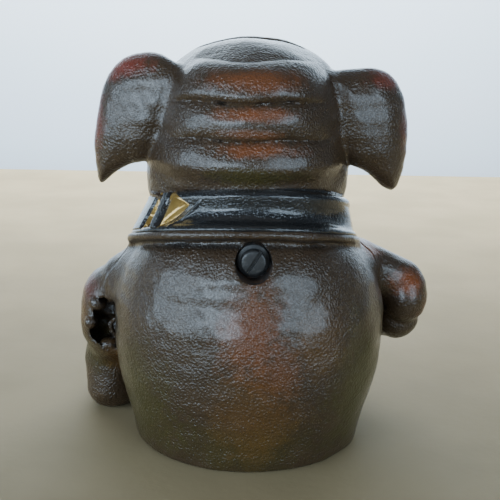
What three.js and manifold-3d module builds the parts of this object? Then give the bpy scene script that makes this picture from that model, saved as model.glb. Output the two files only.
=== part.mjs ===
// A seated hound still bank: two hollow iron castings that meet on an upright parting plane and are
// clamped by one long screw, a washer and a captive square nut. Millimetres, +Z up, the dog faces -Y.
// The origin lies on the floor, on the axis of the round base.
import * as THREE from "three";
import { mergeVertices } from "three/addons/utils/BufferGeometryUtils.js";
import Module from "manifold-3d";

const wasm = await Module();
wasm.setup();

// ---- Driving dimensions ----
const WALL = 3.5; // thickness of the castings
const GAP = 0.3; // clearance between pieces that touch
const SPLIT_Y = -3; // the parting plane of the two castings
const LEAN = 14.5; // degrees that the neck and collar lean forward
const BODY_DEPTH = 0.96; // front-to-back size of the body over its width

// Body outline: radius and height up the side.
const BASE_RADIUS = 38.5;
const BASE_EDGE = 1.8;
const BODY_OUTLINE = [
  [BASE_RADIUS, BASE_EDGE], [41, 9], [44, 18.5], [46.4, 30], [47.2, 42],
  [46.2, 54], [42.6, 64], [35, 72.5], [22, 78.5], [0, 80.5],
];

// Ears: their depth from front to back, and how high each one hangs.
const EAR_DEPTH = 15.2;
const EAR_Y = 2;
const LEFT_EAR_RISE = 1.2;
const RIGHT_EAR_RISE = -1.5;

// Collar, in its own leaning frame, where its axis is Z: radius and height up the outside of the band.
const COLLAR_Z = 69;
const COLLAR_TOP = 16;
const COLLAR_OUTLINE = [
  [38.8, 0], [39.5, 0.7], [39.5, 2], [38.6, 3], [37.2, 4.2], [36.4, 6], [36.2, 8.4],
  [36.7, 10.8], [36.8, 12.8], [35.6, 14.6], [34.6, 15.5], [33.4, COLLAR_TOP],
];

// Side plate on the collar, with a crossbar and a pointed facet at each end. Lengths run round the band.
const PLATE_ANGLE = 88.5; // degrees round the neck, from the back towards the dog's left
const PLATE_FOOT = 2.6;
const PLATE_HEIGHT = 12.7;
const PLATE_FOOT_RADIUS = 41.4;
const PLATE_TOP_RADIUS = 36.9;
const PLATE_LENGTH = 40.2;
const CROSSBAR_WIDTH = 5.2;
const CROSSBAR_AT = 26.1;
const CROSSBAR_RISE = 0.4;
const FACET_ROOT = 29.2;
const FACET_TIP = 39;
const FACET_DROP = 0.6;
const PLATE_SINK = 6; // how far the plate and its ends reach into the neck

// Coin slot across the crown, on the parting plane.
const SLOT_LENGTH = 34;
const SLOT_WIDTH = 4.6;
const SLOT_FOOT_Z = 120; // below the crown's wall

// Screw joint: an inch-size 10-24 slotted cheese-head screw, 2 inches long, and a square nut.
const SCREW_Z = 70.5;
const SCREW_RADIUS = 2.4;
const SCREW_LENGTH = 50.8;
const HEAD_RADIUS = 4.05;
const HEAD_HEIGHT = 3;
const DRIVER_SLOT_WIDTH = 1.3;
const DRIVER_SLOT_DEPTH = 1.5;
const DRIVER_SLOT_TURN = -32; // degrees from upright, leaning right when seen from behind
const RECESS_RADIUS = 5.75;
const RECESS_FLOOR_Y = 33.5;
const WASHER_RADIUS = 5.3;
const WASHER_THICKNESS = 1;
const HOLE_RADIUS = 2.8;
const BOSS_RADIUS = 9;
const POST_END_Y = -38;
const NUT_WIDTH = 9.5;
const NUT_THICKNESS = 3.2;
const NUT_Y = -11;
const SCREW_HOLE_END_Y = -19;
const THREAD_CLEARANCE = 0.2;
const CHAMFER = 0.3;

// Locating lugs.
const LUG_ROOT_Y = -12;
const LUG_TIP_Y = 1.5;
const LUG_LOW_Z = 27;
const LUG_HIGH_Z = 35;
const LUG_INNER_X = 36.5;
const LUG_OUTER_X = 40.6;
const LUG_ROOT_X = 43.5; // where the lug is rooted in the front casting's wall

const FAR = 90; // further out than the figure on every side
const HIGH = 160; // above the figure

const degrees = THREE.MathUtils.degToRad;

// ---- Solids: three.js geometry in, manifold solid out ----

// A closed three.js geometry as a solid that can be joined and cut.
function solid(geometry) {
  const plain = geometry.index ? geometry.toNonIndexed() : geometry;
  const bare = new THREE.BufferGeometry();
  bare.setAttribute("position", plain.getAttribute("position"));
  const merged = mergeVertices(bare, 1e-4);
  const corners = merged.index.array;
  const triangles = [];
  for (let i = 0; i < corners.length; i += 3) {
    const [a, b, c] = corners.slice(i, i + 3);
    if (a !== b && b !== c && c !== a) triangles.push(a, b, c);
  }
  return new wasm.Manifold(
    new wasm.Mesh({
      numProp: 3,
      vertProperties: new Float32Array(merged.getAttribute("position").array),
      triVerts: new Uint32Array(triangles),
    }),
  );
}

// A solid back as three.js geometry, with flat normals.
function geometryOf(made) {
  const mesh = made.getMesh();
  const geometry = new THREE.BufferGeometry();
  geometry.setAttribute("position", new THREE.BufferAttribute(new Float32Array(mesh.vertProperties), 3));
  geometry.setIndex(new THREE.BufferAttribute(new Uint32Array(mesh.triVerts), 1));
  const flat = geometry.toNonIndexed();
  flat.computeVertexNormals();
  return flat;
}

const join = (...parts) => parts.flat().reduce((whole, part) => whole.add(part));

// An ellipsoid: centre, three radii, and a turn in degrees about X, Y and Z.
function lump(at, radii, turn = [0, 0, 0]) {
  const size = Math.max(...radii);
  const around = size > 25 ? 22 : size > 12 ? 12 : 8;
  const sphere = new THREE.SphereGeometry(1, around, Math.round(around * 0.5));
  sphere.rotateX(Math.PI / 2);
  const place = new THREE.Matrix4().compose(
    new THREE.Vector3(...at),
    new THREE.Quaternion().setFromEuler(new THREE.Euler(...turn.map(degrees))),
    new THREE.Vector3(...radii),
  );
  return solid(sphere.applyMatrix4(place));
}

// A round-ended rod between two points.
function limb(from, to, radius) {
  const a = new THREE.Vector3(...from);
  const b = new THREE.Vector3(...to);
  const along = b.clone().sub(a);
  const capsule = new THREE.CapsuleGeometry(radius, along.length(), 2, 10);
  const turn = new THREE.Quaternion().setFromUnitVectors(new THREE.Vector3(0, 1, 0), along.normalize());
  capsule.applyQuaternion(turn);
  capsule.translate(...a.add(b).multiplyScalar(0.5).toArray());
  return solid(capsule);
}

// A box between two corners.
function block([x0, y0, z0], [x1, y1, z1]) {
  const box = new THREE.BoxGeometry(x1 - x0, y1 - y0, z1 - z0);
  box.translate((x0 + x1) / 2, (y0 + y1) / 2, (z0 + z1) / 2);
  return solid(box);
}

// A round bar along Y on the screw's axis.
function bar(radius, y0, y1, sides = 24) {
  const cylinder = new THREE.CylinderGeometry(radius, radius, y1 - y0, sides);
  cylinder.translate(0, (y0 + y1) / 2, SCREW_Z);
  return solid(cylinder);
}

// The same on both sides of the body.
const pair = (make) => [make(1), make(-1)];

// ---- The dog's outside ----

// The body turned from its outline. An inset gives the same form that much smaller all round.
function body(inset = 0) {
  const [, top] = BODY_OUTLINE.at(-1);
  const shrink = (top - 2 * inset) / top;
  const shrunk = ([r, z]) => new THREE.Vector2(Math.max(r - inset, 0), inset + z * shrink);
  const points = BODY_OUTLINE.map(shrunk);
  const side = new THREE.SplineCurve(points).getPoints(14);
  side[0].x = points[0].x;
  side.at(-1).x = 0;
  const profile = [new THREE.Vector2(0, inset), new THREE.Vector2(points[0].x - BASE_EDGE, inset), ...side];
  const turned = new THREE.LatheGeometry(profile, 32);
  turned.rotateX(Math.PI / 2);
  turned.scale(1, BODY_DEPTH, 1);
  return solid(turned);
}

function bodyMasses() {
  return [
    body(),
    lump([0, 2, 58], [43.5, 41.5, 24], [LEAN, 0, 0]), // shoulders
    lump([0, -14, 38], [39, 36, 35]), // belly
    lump([0, -20, 62], [28, 24, 17]), // chest
    lump([0, -1, 86], [34, 33.5, 30], [LEAN, 0, 0]), // neck
  ];
}

// Skull and the three rolls of skin behind it, the uppermost first.
function skull() {
  return [
    lump([0, -8, 114], [33, 38, 25]),
    lump([0, -6, 116], [33.5, 39, 10], [8, 0, 0]),
    lump([0, -3, 104.5], [34.5, 36.2, 7.2], [11, 0, 0]),
    lump([0, -2, 93.5], [35.3, 35.4, 8.6], [11.6, 0, 0]),
  ];
}

function face() {
  const middle = [
    lump([0, -42, 101], [20, 15, 14]), // muzzle
    lump([0, -49, 89], [10.5, 8.5, 6.2]), // lower jaw
    lump([0, -50, 109], [7.5, 8, 5.5]), // bridge of the nose
    lump([0, -58.5, 106], [6.8, 4.2, 4.8]), // nose
    lump([0, -43.5, 121.5], [5, 5, 6]), // fold between the brows
  ];
  const sides = (s) => [
    lump([s * 23, -27, 101], [13, 15, 15.5]), // cheek
    lump([s * 18.5, -40, 92], [8.5, 11, 10.5], [0, s * -12, 0]), // jowl
    lump([s * 9.5, -50.5, 98], [10.5, 9, 9.5], [0, s * 14, s * 12]), // upper lip
    lump([s * 13.5, -40, 120], [10, 7.5, 5.6], [0, s * 14, 0]), // brow
    lump([s * 13, -44.3, 112.6], [4.5, 4.3, 4.3]), // eyeball
    lump([s * 14.5, -42.5, 107.2], [8.5, 5.5, 3.2], [0, s * -14, 0]), // pouch under the eye
  ];
  return [...middle, ...pair(sides).flat()];
}

// A hanging ear: its outline seen from behind, as width and height, with both faces rounded.
function ear(s) {
  const edge = [
    [22, 124], [29, 129.8], [36, 131.6], [43.5, 129.8], [49.4, 124], [52.6, 116], [53.6, 106],
    [53, 97], [51.2, 90], [49.2, 87.4], [46.2, 89.2], [42, 93], [37.6, 95.8], [32, 97], [24, 104],
  ];
  const rise = s > 0 ? LEFT_EAR_RISE : RIGHT_EAR_RISE;
  const curve = new THREE.SplineCurve(
    [...edge, edge[0]].map(([x, z]) => new THREE.Vector2(s * x, z + rise)),
  );
  const shape = new THREE.Shape(curve.getPoints(24).slice(0, -1));
  const flap = new THREE.ExtrudeGeometry(shape, { depth: 2 * EAR_DEPTH, bevelEnabled: false });
  flap.rotateX(Math.PI / 2);
  flap.translate(0, EAR_Y + EAR_DEPTH, 0);
  const rounding = lump([s * 37, EAR_Y, 110], [20, EAR_DEPTH / 2, 27]);
  return join(solid(flap).intersect(rounding), lump([s * 34, 1, 118], [11, 8.5, 11]));
}

// The dog's left foreleg stands on the floor. Its back is open into a hollow behind the elbow.
function leftForeleg() {
  const leg = join(
    lump([40, -7, 61], [14, 13, 13.5]),
    limb([43, -14, 57], [50.5, -15.5, 46], 9.5),
    lump([50.2, -17.5, 39], [10.6, 12.5, 18.5]),
    limb([50.8, -19, 34], [51, -22, 14], 8.2),
  );
  const hollow = lump([48.6, -10.5, 36.5], [8.4, 14, 13.2], [0, 4, 0]);
  const toes = [-1, 0, 1].map((n) => lump([50.6 + 6 * n, -43 + Math.abs(n) * 1.6, 6], [4.4, 6.2, 6.3]));
  return [leg.subtract(hollow), lump([50.4, -27, 8.5], [9.2, 18, 13]), ...toes];
}

// The right foreleg is bent, with its paw laid on the belly.
function rightForeleg() {
  const toes = [-1, 0, 1].map((n) => lump([-20.5 + n * 1.2, -50.5, 43 + n * 5.4], [6.5, 5, 3.3]));
  return [
    lump([-40, -7, 63], [14, 13, 13]),
    limb([-44, -14, 60], [-53.5, -14.5, 50], 10.2),
    lump([-54.6, -15, 45.5], [10.9, 11.6, 15.2], [0, 6, 0]),
    limb([-53, -19, 41], [-34, -42, 41], 8.8),
    lump([-29, -47, 42.5], [11, 8.5, 9.2], [0, 0, -20]),
    ...toes,
  ];
}

// Haunches and hind feet, stretched out in front.
function hindLegs() {
  const side = (s) => {
    const x = s * 24;
    const toes = [-1, 0, 1].map((n) => lump([x + n * 7.2, -66 + Math.abs(n) * 2.4, 8], [4.6, 5.6, 7.2]));
    return [
      lump([s * 25, -30, 19], [18.5, 22, 18]),
      lump([x, -52, 9.5], [11.8, 17, 11]),
      ...toes,
    ];
  };
  return pair(side).flat();
}

// ---- Collar ----

// From the collar's own frame, where its axis is Z, to the dog's.
function onNeck(geometry) {
  geometry.rotateX(degrees(LEAN));
  geometry.translate(0, 0, COLLAR_Z);
  return solid(geometry);
}

// The band: a flange at the foot, a hollow sweep above it, and a fat roll under the top edge.
function collarBand() {
  const profile = [[0, 0], ...COLLAR_OUTLINE, [0, COLLAR_TOP]].map(([r, z]) => new THREE.Vector2(r, z));
  const turned = new THREE.LatheGeometry(profile, 30);
  turned.rotateX(Math.PI / 2);
  return onNeck(turned);
}

// Bends a flat plate round the band. X runs round it, Y up it from the plate's foot, and Z out of it.
function wrapped(plate) {
  const spots = plate.getAttribute("position");
  const slope = (PLATE_TOP_RADIUS - PLATE_FOOT_RADIUS) / PLATE_HEIGHT;
  for (let i = 0; i < spots.count; i++) {
    const up = spots.getY(i);
    const around = degrees(PLATE_ANGLE) - spots.getX(i) / PLATE_FOOT_RADIUS;
    const out = PLATE_FOOT_RADIUS + slope * up + spots.getZ(i);
    spots.setXYZ(i, out * Math.sin(around), out * Math.cos(around), PLATE_FOOT + up);
  }
  return onNeck(plate);
}

// A flat bar that stands up the band: its middle and width along the band, and how far it is raised.
function uprightBar(at, width, rise) {
  const bar = new THREE.BoxGeometry(width, PLATE_HEIGHT, PLATE_SINK + rise, Math.ceil(width / 6), 1, 1);
  bar.translate(at, PLATE_HEIGHT / 2, (rise - PLATE_SINK) / 2);
  return wrapped(bar);
}

// A three-cornered facet at one end of the plate, pointing away from it.
function facet(end) {
  const outline = new THREE.Shape([
    new THREE.Vector2(end * FACET_ROOT, 0),
    new THREE.Vector2(end * FACET_TIP, 0.6 * PLATE_HEIGHT),
    new THREE.Vector2(end * FACET_ROOT, PLATE_HEIGHT),
  ]);
  const wedge = new THREE.ExtrudeGeometry(outline, { depth: PLATE_SINK, bevelEnabled: false });
  wedge.translate(0, 0, -PLATE_SINK - FACET_DROP);
  return wrapped(wedge);
}

function sidePlate() {
  const end = (s) => [uprightBar(s * CROSSBAR_AT, CROSSBAR_WIDTH, CROSSBAR_RISE), facet(s)];
  return [uprightBar(0, PLATE_LENGTH, 0), ...pair(end).flat()];
}

// ---- Castings ----

function outside() {
  const joined = join(
    bodyMasses(), skull(), face(), pair(ear), leftForeleg(), rightForeleg(), hindLegs(),
    collarBand(), sidePlate(),
  );
  const underFloor = block([-FAR, -FAR, -FAR], [FAR, FAR, 0]);
  return joined.subtract(underFloor);
}

// The hollow inside, one wall's thickness within the main masses.
function hollow() {
  return join(
    body(WALL),
    lump([0, -13, 38], [33.5, 32.5, 31.5]),
    lump([0, -2, 82], [27.5, 27, 34.5], [LEAN, 0, 0]),
    lump([0, -8, 112], [28.5, 34, 22]),
  );
}

// Lugs on the front casting's side walls that enter the rear casting and line the two up.
function locatingLugs() {
  const lug = (s) => {
    const across = (a, b) => [Math.min(s * a, s * b), Math.max(s * a, s * b)];
    const [tipLow, tipHigh] = across(LUG_INNER_X, LUG_OUTER_X);
    const [rootLow, rootHigh] = across(LUG_INNER_X, LUG_ROOT_X);
    return [
      block([tipLow, LUG_ROOT_Y, LUG_LOW_Z], [tipHigh, LUG_TIP_Y, LUG_HIGH_Z]),
      block([rootLow, LUG_ROOT_Y, LUG_LOW_Z], [rootHigh, SPLIT_Y - GAP, LUG_HIGH_Z]),
    ];
  };
  return join(pair(lug).flat());
}

function coinSlot() {
  const halfWidth = SLOT_WIDTH / 2;
  return block(
    [-SLOT_LENGTH / 2, SPLIT_Y - halfWidth, SLOT_FOOT_Z],
    [SLOT_LENGTH / 2, SPLIT_Y + halfWidth, HIGH],
  );
}

function rearCasting(whole, chamber) {
  const half = block([-FAR, SPLIT_Y + GAP / 2, 0], [FAR, FAR, HIGH]);
  const boss = bar(BOSS_RADIUS, SPLIT_Y + GAP / 2, RECESS_FLOOR_Y + WALL);
  const shell = whole.subtract(chamber).add(boss.intersect(whole)).intersect(half);
  return shell
    .subtract(bar(RECESS_RADIUS, RECESS_FLOOR_Y, FAR, 32))
    .subtract(bar(HOLE_RADIUS, SCREW_HOLE_END_Y, FAR))
    .subtract(coinSlot());
}

function frontCasting(whole, chamber) {
  const half = block([-FAR, -FAR, 0], [FAR, SPLIT_Y - GAP / 2, HIGH]);
  const post = bar(BOSS_RADIUS, POST_END_Y, SPLIT_Y - GAP / 2);
  const pocketHalf = NUT_WIDTH / 2 + GAP;
  const pocket = block(
    [-pocketHalf, NUT_Y - NUT_THICKNESS / 2 - GAP, SCREW_Z - pocketHalf],
    [pocketHalf, NUT_Y + NUT_THICKNESS / 2 + GAP, SCREW_Z + BOSS_RADIUS + GAP],
  );
  const shell = whole.subtract(chamber).add(post).intersect(half).add(locatingLugs());
  return shell
    .subtract(bar(HOLE_RADIUS, SCREW_HOLE_END_Y, SPLIT_Y))
    .subtract(pocket)
    .subtract(coinSlot());
}

// ---- Screw, washer and nut, each built on its own axis along Z and laid along Y ----

// Turns a piece built along +Z so that it points out of the dog's back, and sets its foot at y.
function laid(geometry, y) {
  geometry.rotateX(-Math.PI / 2);
  geometry.translate(0, y, SCREW_Z);
  return geometry;
}

function screw() {
  const headFoot = RECESS_FLOOR_Y + WASHER_THICKNESS + 2 * GAP;
  const outline = [
    [0, -SCREW_LENGTH], [SCREW_RADIUS - 2 * CHAMFER, -SCREW_LENGTH],
    [SCREW_RADIUS, 2 * CHAMFER - SCREW_LENGTH], [SCREW_RADIUS, 0],
    [HEAD_RADIUS, 0], [HEAD_RADIUS, HEAD_HEIGHT - CHAMFER],
    [HEAD_RADIUS - CHAMFER, HEAD_HEIGHT], [0, HEAD_HEIGHT],
  ].map(([r, z]) => new THREE.Vector2(r, z));
  const turned = new THREE.LatheGeometry(outline, 24);
  turned.rotateX(Math.PI / 2);
  const cut = new THREE.BoxGeometry(DRIVER_SLOT_WIDTH, 4 * HEAD_RADIUS, 2 * DRIVER_SLOT_DEPTH);
  cut.translate(0, 0, HEAD_HEIGHT);
  cut.rotateZ(degrees(DRIVER_SLOT_TURN));
  return laid(geometryOf(solid(turned).subtract(solid(cut))), headFoot);
}

function washer() {
  const bore = SCREW_RADIUS + GAP;
  const outline = [
    [bore, 0], [WASHER_RADIUS, 0], [WASHER_RADIUS, WASHER_THICKNESS], [bore, WASHER_THICKNESS], [bore, 0],
  ].map(([r, z]) => new THREE.Vector2(r, z));
  const ring = new THREE.LatheGeometry(outline, 24);
  ring.rotateX(Math.PI / 2);
  return laid(ring, RECESS_FLOOR_Y + GAP);
}

function nut() {
  const half = NUT_WIDTH / 2;
  const corners = [[-half, -half], [half, -half], [half, half], [-half, half]];
  const square = new THREE.Shape(corners.map(([x, y]) => new THREE.Vector2(x, y)));
  square.holes.push(new THREE.Path().absarc(0, 0, SCREW_RADIUS + THREAD_CLEARANCE, 0, 2 * Math.PI, true));
  const settings = { depth: NUT_THICKNESS, bevelEnabled: false, curveSegments: 24 };
  const plate = new THREE.ExtrudeGeometry(square, settings);
  return laid(plate, NUT_Y - NUT_THICKNESS / 2);
}

// ---- Scene graph ----

const paint = new THREE.MeshStandardMaterial({ color: 0x3b332c, roughness: 0.38, metalness: 0.2 });
const blackSteel = new THREE.MeshStandardMaterial({ color: 0x1d1c1d, roughness: 0.5, metalness: 0.6 });
const dullSteel = new THREE.MeshStandardMaterial({ color: 0x6f6a62, roughness: 0.45, metalness: 0.9 });

function piece(name, geometry, material) {
  const mesh = new THREE.Mesh(geometry, material);
  mesh.name = name;
  return mesh;
}

const whole = outside();
const chamber = hollow();

const rearHalf = new THREE.Group();
rearHalf.add(piece("rear_casting", geometryOf(rearCasting(whole, chamber)), paint));

const frontHalf = new THREE.Group();
frontHalf.add(
  piece("front_casting", geometryOf(frontCasting(whole, chamber)), paint),
  piece("square_nut", nut(), dullSteel),
);

const fastener = new THREE.Group();
fastener.add(
  piece("assembly_screw", screw(), blackSteel),
  piece("screw_washer", washer(), blackSteel),
);

const bank = new THREE.Group();
bank.add(rearHalf, frontHalf, fastener);

export default bank;
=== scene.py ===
import math

import bmesh
import bpy
import numpy as np
from mathutils import Euler, Matrix, Vector


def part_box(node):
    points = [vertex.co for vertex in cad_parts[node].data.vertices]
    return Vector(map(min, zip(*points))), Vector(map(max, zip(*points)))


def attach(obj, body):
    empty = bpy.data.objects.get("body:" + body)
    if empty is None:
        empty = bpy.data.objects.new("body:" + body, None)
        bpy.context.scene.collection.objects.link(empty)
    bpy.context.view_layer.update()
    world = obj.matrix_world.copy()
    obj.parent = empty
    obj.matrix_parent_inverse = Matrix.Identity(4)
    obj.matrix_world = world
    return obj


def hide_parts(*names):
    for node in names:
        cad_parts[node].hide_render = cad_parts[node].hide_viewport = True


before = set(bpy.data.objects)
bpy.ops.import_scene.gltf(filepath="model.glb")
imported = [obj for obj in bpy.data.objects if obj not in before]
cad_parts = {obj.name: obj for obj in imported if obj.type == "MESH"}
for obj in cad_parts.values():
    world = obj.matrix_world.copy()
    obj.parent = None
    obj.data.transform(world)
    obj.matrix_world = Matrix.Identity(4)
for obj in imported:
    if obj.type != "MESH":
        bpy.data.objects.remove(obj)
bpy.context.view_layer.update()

# A seated hound still bank: two painted iron castings clamped by one slotted screw.
# The sculpting is in millimetres, and is turned into metres when a mesh is made.
# The dog faces -Y, its left side is +X, and the floor is z = 0.
MM = 0.001


def box_mm(node):
    """The lowest and highest corner of a CAD node, in millimetres."""
    low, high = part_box(node)
    return Vector(low) / MM, Vector(high) / MM


# ---- Sizes taken from the frame ----

REAR_LOW, REAR_HIGH = box_mm("rear_casting")
SCREW_LOW, SCREW_HIGH = box_mm("assembly_screw")
WASHER_LOW, WASHER_HIGH = box_mm("screw_washer")
NUT_LOW, NUT_HIGH = box_mm("square_nut")

HALF_GAP = 0.15  # half the clearance between the two castings
SPLIT_Y = REAR_LOW.y - HALF_GAP
SCREW_X = (SCREW_LOW.x + SCREW_HIGH.x) / 2
SCREW_Z = (SCREW_LOW.z + SCREW_HIGH.z) / 2
HEAD_RADIUS = (SCREW_HIGH.z - SCREW_LOW.z) / 2
WASHER_RADIUS = (WASHER_HIGH.z - WASHER_LOW.z) / 2
RECESS_FLOOR_Y = WASHER_LOW.y - 2 * HALF_GAP
CROWN_Z = REAR_HIGH.z

# ---- Sizes of the castings ----

WALL = 3.5
LEAN = 14.5  # degrees that the neck and collar lean forward
COLLAR_Z = 69.0  # where the collar's lower edge crosses the axis
RECESS_RADIUS = 5.75
HOLE_RADIUS = 2.8
POST_RADIUS = 9.0
SLOT_LENGTH = 34.0
SLOT_WIDTH = 4.6

CELL = 0.72  # grid that the castings are sculpted on
FAR = 60.0  # depth where no form is near
MARGIN = 2.5  # how far outside its box a form is still felt, when the skin is near
TINY = 1e-6


def add_object(name, data):
    made = bpy.data.objects.new(name, data)
    bpy.context.scene.collection.objects.link(made)
    return made


def add_mesh(name, points, faces):
    """A smooth-shaded mesh object."""
    mesh = bpy.data.meshes.new(name)
    mesh.from_pydata(points, [], faces)
    mesh.validate()
    mesh.shade_smooth()
    return add_object(name, mesh)


# ---- Camera, floor and light ----

def add_camera():
    """Eye level with the crown, behind the dog and a little to its left."""
    azimuth, pitch, roll = math.radians(178.2), math.radians(13.1), math.radians(1.2)
    distance, height = 310 * MM, 138 * MM  # of the lens from the figure's axis and above the table
    away = Vector((math.sin(azimuth), -math.cos(azimuth), 0))
    look = -away * math.cos(pitch) - Vector((0, 0, math.sin(pitch)))
    right = look.cross(Vector((0, 0, 1))).normalized()
    up = right.cross(look)
    rolled_right = right * math.cos(roll) + up * math.sin(roll)
    rolled_up = up * math.cos(roll) - right * math.sin(roll)
    turn = Matrix((rolled_right, rolled_up, -look)).transposed().to_4x4()
    lens = bpy.data.cameras.new("camera")
    lens.sensor_width = 36
    lens.lens = 65.5
    lens.clip_start = 0.01
    camera = add_object("camera", lens)
    camera.matrix_world = Matrix.Translation(away * distance + Vector((0, 0, height))) @ turn
    bpy.context.scene.camera = camera


def add_panel(name, place, aim, width, height, watts, colour):
    """A soft oval lamp at a place, facing a point."""
    lamp = bpy.data.lights.new(name, "AREA")
    lamp.shape = "ELLIPSE"
    lamp.size = width
    lamp.size_y = height
    lamp.energy = watts
    lamp.color = colour
    panel = add_object(name, lamp)
    panel.location = place
    panel.rotation_euler = (Vector(aim) - Vector(place)).to_track_quat("-Z", "Y").to_euler()


FIGURE = (0, 0, 0.07)  # the middle of the bank, which the lamps face
COOL, PALE, WARM = (0.62, 0.81, 1.0), (0.86, 0.93, 1.0), (1, 0.95, 0.86)

# Lamps: name, place and aim in metres, width, height, watts and colour.
PANELS = [
    ("panel_left", (0.92, 0.44, 0.2), FIGURE, 1.1, 0.6, 9.8, COOL),
    ("panel_right", (-0.7, 0.8, 0.22), FIGURE, 0.8, 0.5, 6.6, COOL),
    ("panel_back", (0.5, 1.08, 0.2), FIGURE, 0.8, 0.3, 8, COOL),
    ("panel_top", (0.05, 0.15, 1.1), FIGURE, 1.4, 1.4, 1.1, WARM),
    ("panel_front", (0.25, -0.8, 0.45), FIGURE, 0.8, 0.5, 0.3, WARM),
    ("panel_wall", (0, -0.5, 0.6), (0, -0.99, 0.1), 1.4, 0.3, 26, PALE),
]


def add_lights():
    """A dim pale sky and the lamps."""
    world = bpy.data.worlds.new("studio")
    bpy.context.scene.world = world
    world.use_nodes = True
    sky = world.node_tree.nodes["Background"]
    sky.inputs["Color"].default_value = (0.8, 0.9, 1.0, 1)
    sky.inputs["Strength"].default_value = 0.09
    for panel in PANELS:
        add_panel(*panel)


def add_stage(material_floor, material_wall):
    """A pale table top that ends at a pale wall."""
    far_edge, gap = -0.64, 0.35
    drop = -0.0001  # keeps the table clear of the base
    floor = flat_plane("floor", material_floor, 2, (far_edge, drop), (2, drop))
    wall = flat_plane("wall", material_wall, 3, (far_edge - gap, -0.6), (far_edge - gap, 2))


def flat_plane(name, material, side, start, end):
    """A plane as wide as two sides, from one (y, z) to another."""
    corners = [(-side, *start), (side, *start), (side, *end), (-side, *end)]
    plane = add_mesh(name, corners, [(0, 1, 2, 3)])
    plane.data.materials.append(material)
    return plane


# ---- Clay: soft forms joined into one signed distance ----

def f32(values):
    return np.asarray(values, np.float32)


def turn_matrix(turn):
    return np.array(Euler([math.radians(a) for a in turn]).to_matrix(), np.float32)


def egg_distance(near, steep):
    """About how far a point is from a skin on which near is 1, where steep says how fast near grows."""
    return near * (near - 1) / np.maximum(steep, TINY)


class Form:
    """A solid: the box it stays in, and the distance from a point to its skin, negative inside."""

    def __init__(self, low, high, distance):
        self.low, self.high, self.distance = f32(low), f32(high), distance


def lump(centre, radii, turn=(0, 0, 0)):
    """An ellipsoid."""
    centre, radii, spin = f32(centre), f32(radii), turn_matrix(turn)

    def distance(p):
        q = (p - centre) @ spin
        return egg_distance(np.linalg.norm(q / radii, axis=1), np.linalg.norm(q / radii**2, axis=1))

    reach = radii.max()
    return Form(centre - reach, centre + reach, distance)


def rod(start, end, radius, end_radius):
    """A round-ended rod that may taper."""
    start, end = f32(start), f32(end)
    along = end - start

    def distance(p):
        t = np.clip((p - start) @ along / (along @ along), 0, 1)
        gap = np.linalg.norm(p - start - t[:, None] * along, axis=1)
        return gap - (radius + t * (end_radius - radius))

    reach = max(radius, end_radius)
    return Form(np.minimum(start, end) - reach, np.maximum(start, end) + reach, distance)


def brick(low, high, rounding=0.0):
    """A box with rounded edges."""
    low, high = f32(low), f32(high)
    middle, half = (low + high) / 2, (high - low) / 2 - rounding

    def distance(p):
        q = np.abs(p - middle) - half
        outside = np.linalg.norm(np.maximum(q, 0), axis=1)
        return outside + np.minimum(q.max(axis=1), 0) - rounding

    return Form(low, high, distance)


def leaning_disc(centre, radius, half_height, rounding):
    """A round-edged disc whose axis leans with the neck."""
    centre = f32(centre)
    spin = turn_matrix((LEAN, 0, 0))

    def distance(p):
        q = (p - centre) @ spin
        side = np.hypot(q[:, 0], q[:, 1]) - radius + rounding
        level = np.abs(q[:, 2]) - half_height + rounding
        outside = np.hypot(np.maximum(side, 0), np.maximum(level, 0))
        return outside + np.minimum(np.maximum(side, level), 0) - rounding

    reach = f32([radius, radius, 0.4 * radius])  # the lean lifts its rim by less than that
    return Form(centre - reach, centre + reach, distance)


def bar(radius, y0, y1):
    """A round bar along Y on the screw's axis."""
    def distance(p):
        side = np.hypot(p[:, 0] - SCREW_X, p[:, 2] - SCREW_Z) - radius
        ends = np.maximum(y0 - p[:, 1], p[:, 1] - y1)
        return np.maximum(side, ends)

    low, high = (SCREW_X - radius, y0, SCREW_Z - radius), (SCREW_X + radius, y1, SCREW_Z + radius)
    return Form(low, high, distance)


def smooth_curve(points, steps=12, closed=False):
    """A Catmull-Rom curve through 2-D points."""
    knots = np.asarray(points, float)
    before, after = (knots[-1:], knots[:2]) if closed else (knots[:1], knots[-1:])
    knots = np.vstack([before, knots, after])
    t = np.linspace(0, 1, steps, endpoint=False)[:, None]
    curve = []
    for a, b, c, d in zip(knots, knots[1:], knots[2:], knots[3:]):
        square, cube = 2 * a - 5 * b + 4 * c - d, 3 * b - a - 3 * c + d
        curve.append(0.5 * (2 * b + (c - a) * t + square * t**2 + cube * t**3))
    if not closed:
        curve.append(knots[-1:])
    return np.vstack(curve)


def turned(outline, depth):
    """A form turned about Z from (height, radius) points, scaled from front to back by depth."""
    curve = smooth_curve(outline)
    heights, radii = curve[:, 0], curve[:, 1]
    slopes = np.gradient(radii, heights)

    def distance(p):
        across = np.hypot(p[:, 0], p[:, 1] / depth)
        slope = np.interp(p[:, 2], heights, slopes)
        side = (across - np.interp(p[:, 2], heights, radii)) / np.sqrt(1 + slope**2)
        return np.maximum(side, p[:, 2] - heights[-1])

    reach = radii.max()
    below = 10  # it has no bottom of its own
    return Form((-reach, -reach, heights[0] - below), (reach, reach, heights[-1]), distance)


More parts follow.
